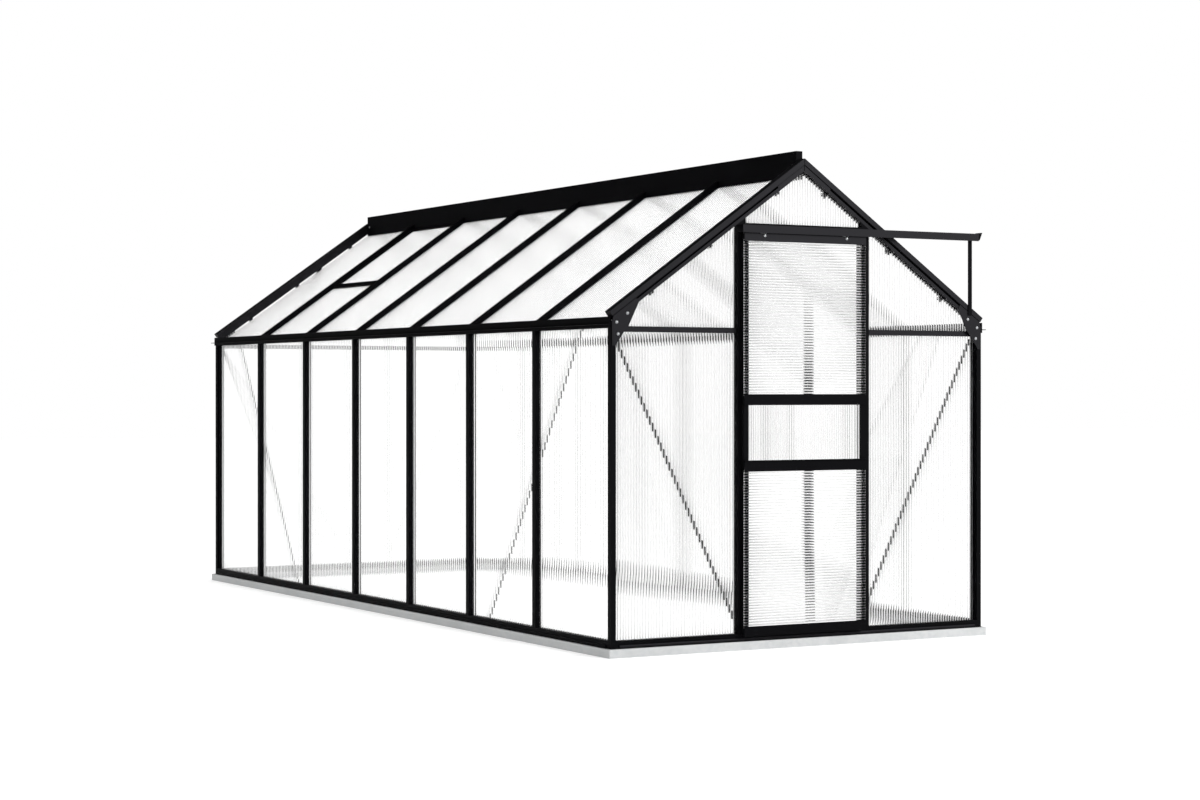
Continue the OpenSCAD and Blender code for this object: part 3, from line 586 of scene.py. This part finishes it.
# %% [markdown]
# A groove in an extrusion could be painted on, but it would look flat from the side. A Boolean
# cuts it for real. It needs a closed cutter, here a plain bar that may stand at any angle, and a
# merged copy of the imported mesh, because loose triangles have no inside.

# %% Tools for cutting grooves
BAR_FACES = ((0, 2, 3, 1), (4, 5, 7, 6), (0, 1, 5, 4), (2, 6, 7, 3), (0, 4, 6, 2), (1, 3, 7, 5))


def box_of(name):
    """The lowest and highest corner of a CAD node."""
    points = np.array([v.co[:] for v in nodes[name].data.vertices])
    return points.min(0), points.max(0)


def bar(corner, steps):
    """Corner points and faces of a slanted box from one corner and three edge steps."""
    points = [Vector(corner)]
    for step in steps:
        points += [point + step for point in points]
    return points, BAR_FACES


def closed_mesh(name, points, faces):
    """A mesh from points and faces, with every face turned outwards."""
    mesh = bpy.data.meshes.new(name)
    mesh.from_pydata(points, [], faces)
    build = bmesh.new()
    build.from_mesh(mesh)
    bmesh.ops.recalc_face_normals(build, faces=build.faces)
    build.to_mesh(mesh)
    build.free()
    return mesh


def cut_copy(name, bars):
    """A merged copy of a CAD node's mesh with bars taken out of it."""
    points, faces = [], []
    for some_points, some_faces in bars:
        faces += [tuple(len(points) + i for i in face) for face in some_faces]
        points += some_points
    kept_mesh = nodes[name].data.copy()
    build = merged_copy(name)
    build.to_mesh(kept_mesh)
    build.free()
    cutter = bpy.data.objects.new("cutter", closed_mesh("cutter", points, faces))
    holder = bpy.data.objects.new("holder", kept_mesh)
    for thing in (cutter, holder):
        bpy.context.scene.collection.objects.link(thing)
    cut = holder.modifiers.new("cut", "BOOLEAN")
    cut.operation, cut.solver, cut.object = "DIFFERENCE", "EXACT", cutter
    mesh = applied(holder)
    bpy.data.objects.remove(cutter)
    return mesh


print("a cutting bar has", len(BAR_FACES), "faces")

# %% [markdown]
# The gable rafters are open extrusions: a cap strip along the top, a deep channel below it and a
# thinner strip under that. In dark metal a deep channel reads as a black line, so a long bar is
# taken out of each rafter at the slope's own angle. A fine upright cut parts the two at the apex.

# %% Channels in the rafters
CHANNEL_TOP = 23 * MM
CHANNEL_W = 9 * MM
CHANNEL_D = 27 * MM
SEAM_W = 1.5 * MM
SEAM_D = 10 * MM
SEAM_REACH = 0.2
REACH = 2.0

for name, down in (("left_rafters", down_left), ("right_rafters", down_right)):
    normal = Vector((-down.z * (1 if down.x > 0 else -1), 0, abs(down.x)))
    low, high = box_of(name)
    top = max(v.co.dot(normal) for v in nodes[name].data.vertices)
    start = normal * (top - CHANNEL_TOP - CHANNEL_W) - down * REACH / 2
    bars = []
    for y in (low[1], high[1]):
        bars.append(bar(start + Vector((0, y - CHANNEL_D, 0)), (
            down * REACH * 2, normal * CHANNEL_W, Vector((0, CHANNEL_D * 2, 0)))))
        bars.append(bar((-SEAM_W, y - SEAM_D, high[2] - SEAM_REACH), (
            Vector((SEAM_W * 2, 0, 0)), Vector((0, SEAM_D * 2, 0)),
            Vector((0, 0, SEAM_REACH * 2)))))
    piece = joined(name.replace("rafters", "channelled_rafters"), [cut_copy(name, bars)])
    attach(piece, "house")
    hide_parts(name)
    before, after = len(nodes[name].data.polygons), len(piece.data.polygons)
    print(piece.name, before, "faces before,", after, "after")

# %% [markdown]
# Bolts hold the gussets, the ridge and the door's hangers: a zinc-plated button head on a washer.
# They are all alike, so one head is modelled in a node tree and set on every point of a mesh that
# holds nothing but the places. Its sizes are inputs, so the same tree can make other round heads.

# %% Bolt heads
HEAD_R = 6 * MM
HEAD_H = 4 * MM
WASHER_R = 7 * MM
WASHER_T = 1.2 * MM
ROUND_STEPS = 20
DOME_RINGS = 10

heads = bpy.data.node_groups.new("bolt_heads", "GeometryNodeTree")
heads.interface.new_socket("Geometry", in_out="OUTPUT", socket_type="NodeSocketGeometry")
heads.interface.new_socket("Geometry", in_out="INPUT", socket_type="NodeSocketGeometry")
for label in ("Head radius", "Head height", "Washer radius", "Washer thickness"):
    heads.interface.new_socket(label, in_out="INPUT", socket_type="NodeSocketFloat")
heads.interface.new_socket("Facing", in_out="INPUT", socket_type="NodeSocketVector")
heads.interface.new_socket("Material", in_out="INPUT", socket_type="NodeSocketMaterial")
given = add(heads, "NodeGroupInput").outputs
washer = add(heads, "GeometryNodeMeshCylinder", {
    "Vertices": ROUND_STEPS, "Radius": given["Washer radius"],
    "Depth": given["Washer thickness"]})
half = add(heads, "ShaderNodeMath", {0: given["Washer thickness"], 1: 0.5}, operation="MULTIPLY")
lift = add(heads, "ShaderNodeCombineXYZ", {"Z": half.outputs[0]})
seated = add(heads, "GeometryNodeTransform", {
    "Geometry": washer.outputs["Mesh"], "Translation": lift.outputs[0]})
dome = add(heads, "GeometryNodeMeshUVSphere", {
    "Segments": ROUND_STEPS, "Rings": DOME_RINGS, "Radius": 1.0})
flatten = add(heads, "ShaderNodeCombineXYZ", {
    "X": given["Head radius"], "Y": given["Head radius"], "Z": given["Head height"]})
flat_dome = add(heads, "GeometryNodeTransform", {
    "Geometry": dome.outputs["Mesh"], "Scale": flatten.outputs[0]})
head = add(heads, "GeometryNodeJoinGeometry")
heads.links.new(seated.outputs[0], head.inputs[0])
heads.links.new(flat_dome.outputs[0], head.inputs[0])
turned = add(heads, "FunctionNodeAlignRotationToVector", {"Vector": given["Facing"]}, axis="Z")
placed = add(heads, "GeometryNodeInstanceOnPoints", {
    "Points": given["Geometry"], "Instance": head.outputs[0], "Rotation": turned.outputs[0]})
realized = add(heads, "GeometryNodeRealizeInstances", {"Geometry": placed.outputs[0]})
rounded = add(heads, "GeometryNodeSetShadeSmooth", {
    "Geometry": realized.outputs[0], "Shade Smooth": True})
dressed = add(heads, "GeometryNodeSetMaterial", {
    "Geometry": rounded.outputs[0], "Material": given["Material"]})
add(heads, "NodeGroupOutput", {0: dressed.outputs[0]})


def bolts_at(places, facing, radius=HEAD_R, height=HEAD_H, finish=zinc_plate):
    """Bolt heads with their washers on these places."""
    spots = bpy.data.meshes.new("spots")
    spots.from_pydata(places, [], [])
    return evaluated(heads, {
        "Head radius": radius, "Head height": height, "Washer radius": WASHER_R,
        "Washer thickness": WASHER_T, "Facing": facing, "Material": finish}, "bolts", spots)


print("bolt tree has", len(heads.nodes), "nodes")

# %% [markdown]
# Each gusset plate takes three bolts, the ridge one near each end on both sides, and the door's
# head two, where its hangers are. Their faces are read from the boxes of the pieces that carry
# them, so they sit on the metal, and only the spots along those faces are given as numbers. The
# same tree with other sizes makes the black stop knob at the foot of the left door post.

# %% Set the bolts and the stop knob
GUSSET_BOLTS = ((0.874, 1.402), (0.925, 1.365), (0.918, 1.317))
DOOR_BOLTS = (-0.222, 0.198)
RIDGE_INSET = 28 * MM
KNOB_R, KNOB_H, KNOB_Z = 9 * MM, 10 * MM, 0.09

gusset_low, gusset_high = box_of("gusset_plates")
ridge_low, ridge_high = box_of("ridge")
head_low, head_high = box_of("door_head")
house_bolts = []
for y, way in ((gusset_low[1], -1), (gusset_high[1], 1)):
    house_bolts.append(bolts_at(
        [(hand * x, y, z) for x, z in GUSSET_BOLTS for hand in (-1, 1)], (0, way, 0)))
ridge_middle = (ridge_low[2] + ridge_high[2]) / 2
ridge_ends = (ridge_low[1] + RIDGE_INSET, ridge_high[1] - RIDGE_INSET)
for x, way in ((ridge_low[0], -1), (ridge_high[0], 1)):
    house_bolts.append(bolts_at([(x, y, ridge_middle) for y in ridge_ends], (way, 0, 0)))
bolts = joined("house_bolts", house_bolts)
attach(bolts, "house")
door_bolts = joined("door_bolts", [bolts_at(
    [(x, head_low[1], head_high[2] - WASHER_R - WASHER_T) for x in DOOR_BOLTS], (0, -1, 0))])
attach(door_bolts, "door")
post_low = box_of("door_posts")[0]
knob = joined("door_stop_knob", [bolts_at(
    [(post_low[0], post_low[1] + KNOB_R, KNOB_Z)], (-1, 0, 0), KNOB_R, KNOB_H, powder_coat)])
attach(knob, "house")
for piece in (bolts, door_bolts, knob):
    print(piece.name, len(piece.data.polygons), "faces")

# %% [markdown]
# The track's lower edge is rolled over: a thin lip hangs down before the hangers and almost
# meets the door's head, so that from outside only a fine shadow line parts the two.

# %% Lip of the door track
LIP_T = 2 * MM
LIP_GAP = 1.5 * MM

track_low, track_high = box_of("door_track")
lip_h = track_low[2] - head_high[2] - LIP_GAP
lip_mesh = closed_mesh("track_lip", *bar((track_low[0], track_low[1], head_high[2] + LIP_GAP), (
    Vector((track_high[0] - track_low[0], 0, 0)), Vector((0, LIP_T, 0)), Vector((0, 0, lip_h)))))
# The lip wears the lit copy of the coat; its stronger reflection is painted highlight.
lip_mesh.materials.append(painted_lit_coat)
track_lip = joined("track_lip", [lip_mesh])
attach(track_lip, "house")
print("lip height", round(lip_h, 4))

# %% [markdown]
# The front and back sills end in a drip lip. Its nose is rounded, as an extruded edge is, and it
# wears the lit copy of the coat, whose stronger reflection is painted highlight, so one slim line
# of it always finds the light, while the sill above stays black. Half an ellipse is drawn as a row
# of points and pulled along the lip as one joined strip.

# %% Rounded nose of the sills
NOSE_Z = 3 * MM
NOSE_H = 11 * MM
NOSE_D = 2 * MM
NOSE_STEPS = 8

noses = []
for name, side, way in (("front_sill", 0, -1), ("back_sill", 1, 1)):
    corners = box_of(name)
    y, z = corners[side][1], corners[0][2] + NOSE_Z
    section = []
    for i in range(NOSE_STEPS + 1):
        angle = math.pi * i / NOSE_STEPS
        section.append((
            y + way * NOSE_D * math.sin(angle), z + NOSE_H * (1 - math.cos(angle)) / 2))
    size = len(section)
    points = [(corner[0], *spot) for corner in corners for spot in section]
    faces = [(i, i + 1, size + i + 1, size + i) for i in range(size - 1)]
    faces += [(size - 1, 0, size, 2 * size - 1), tuple(range(size)), tuple(range(size, 2 * size))]
    nose = closed_mesh("nose", points, faces)
    # The nose wears the lit copy of the coat: painted highlight on a real rounded edge.
    nose.materials.append(painted_lit_coat)
    noses.append(nose)
sill_noses = joined("sill_noses", noses)
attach(sill_noses, "house")
print("sill noses", len(sill_noses.data.polygons), "faces")

# %% [markdown]
# The house stands on a plain pale floor, as in a studio. A chalky plane that shines a little by
# itself runs out to white like the wall behind, so no edge of it shows.

# %% Floor
FLOOR_R = 40.0
FLOOR_GLOW = 0.15

floor_mesh = bpy.data.meshes.new("floor")
floor_mesh.from_pydata([(-FLOOR_R, -FLOOR_R, 0), (FLOOR_R, -FLOOR_R, 0), (FLOOR_R, FLOOR_R, 0),
                        (-FLOOR_R, FLOOR_R, 0)], [], [(0, 1, 2, 3)])
floor = bpy.data.objects.new("floor", floor_mesh)
bpy.context.scene.collection.objects.link(floor)
floor_paint, tree, out = new_material("pale_floor")
chalk = add(tree, "ShaderNodeBsdfPrincipled", {
    "Base Color": paint("#fcfcfc"), "Roughness": 1.0, "Specular IOR Level": 0.0,
    "Emission Color": paint("#ffffff"), "Emission Strength": FLOOR_GLOW})
tree.links.new(chalk.outputs["BSDF"], out.inputs["Surface"])
floor_mesh.materials.append(floor_paint)
print("floor is", 2 * FLOOR_R, "m wide")

# %% [markdown]
# Soft light comes from the front right. The world is white for the eye, for what is seen through
# the sheets and in sharp reflections; in the dark bars' blurred gloss it is bright only towards
# the front, as a big lamp screen there would be, which keeps the side faces dark. The plain view
# transform keeps white as white, where a film-like one would turn it grey.

# %% Light and view
SCREEN_EDGE, SCREEN_MIDDLE = 0.3, -0.6
SCREEN_DARK, SCREEN_BRIGHT = 0.02, 1.1
THROUGH_GLOW = 1.15
LAMP_W, LAMP_H = 5.0, 4.0
LAMP_WATTS = 500
LAMP_PLACE = Vector((4.5, -8.0, 5.0))
LAMP_AIM = Vector((0, -1.5, 0.9))

world = bpy.data.worlds.new("studio")
bpy.context.scene.world = world
world.use_nodes = True
tree = world.node_tree
tree.nodes.clear()
ray = add(tree, "ShaderNodeLightPath")
sky = add(tree, "ShaderNodeTexCoord")
aim = add(tree, "ShaderNodeSeparateXYZ", {0: sky.outputs["Generated"]})
screen = add(tree, "ShaderNodeMapRange", {
    "Value": aim.outputs["Y"], "From Min": SCREEN_EDGE, "From Max": SCREEN_MIDDLE,
    "To Min": SCREEN_DARK, "To Max": SCREEN_BRIGHT}, interpolation_type="SMOOTHSTEP")
in_gloss = add(tree, "ShaderNodeMix", {
    0: ray.outputs["Is Singular Ray"], 2: screen.outputs["Result"], 3: 1.0})
strength = add(tree, "ShaderNodeMix", {
    0: ray.outputs["Is Glossy Ray"], 2: 1.0, 3: in_gloss.outputs[0]})
seen_through = add(tree, "ShaderNodeMix", {
    0: ray.outputs["Is Transmission Ray"], 2: strength.outputs[0], 3: THROUGH_GLOW})
light = add(tree, "ShaderNodeBackground", {
    "Color": paint("#ffffff"), "Strength": seen_through.outputs[0]})
add(tree, "ShaderNodeOutputWorld", {"Surface": light.outputs["Background"]})

key = bpy.data.lights.new("front_screen", "AREA")
key.shape = "RECTANGLE"
key.size, key.size_y = LAMP_W, LAMP_H
key.energy = LAMP_WATTS
lamp = bpy.data.objects.new("front_screen", key)
lamp.location = LAMP_PLACE
lamp.rotation_euler = (LAMP_AIM - LAMP_PLACE).to_track_quat("-Z", "Y").to_euler()
bpy.context.scene.collection.objects.link(lamp)

bpy.context.scene.view_settings.view_transform = "Standard"
print("lamp stands", round((LAMP_AIM - LAMP_PLACE).length, 1), "m away")
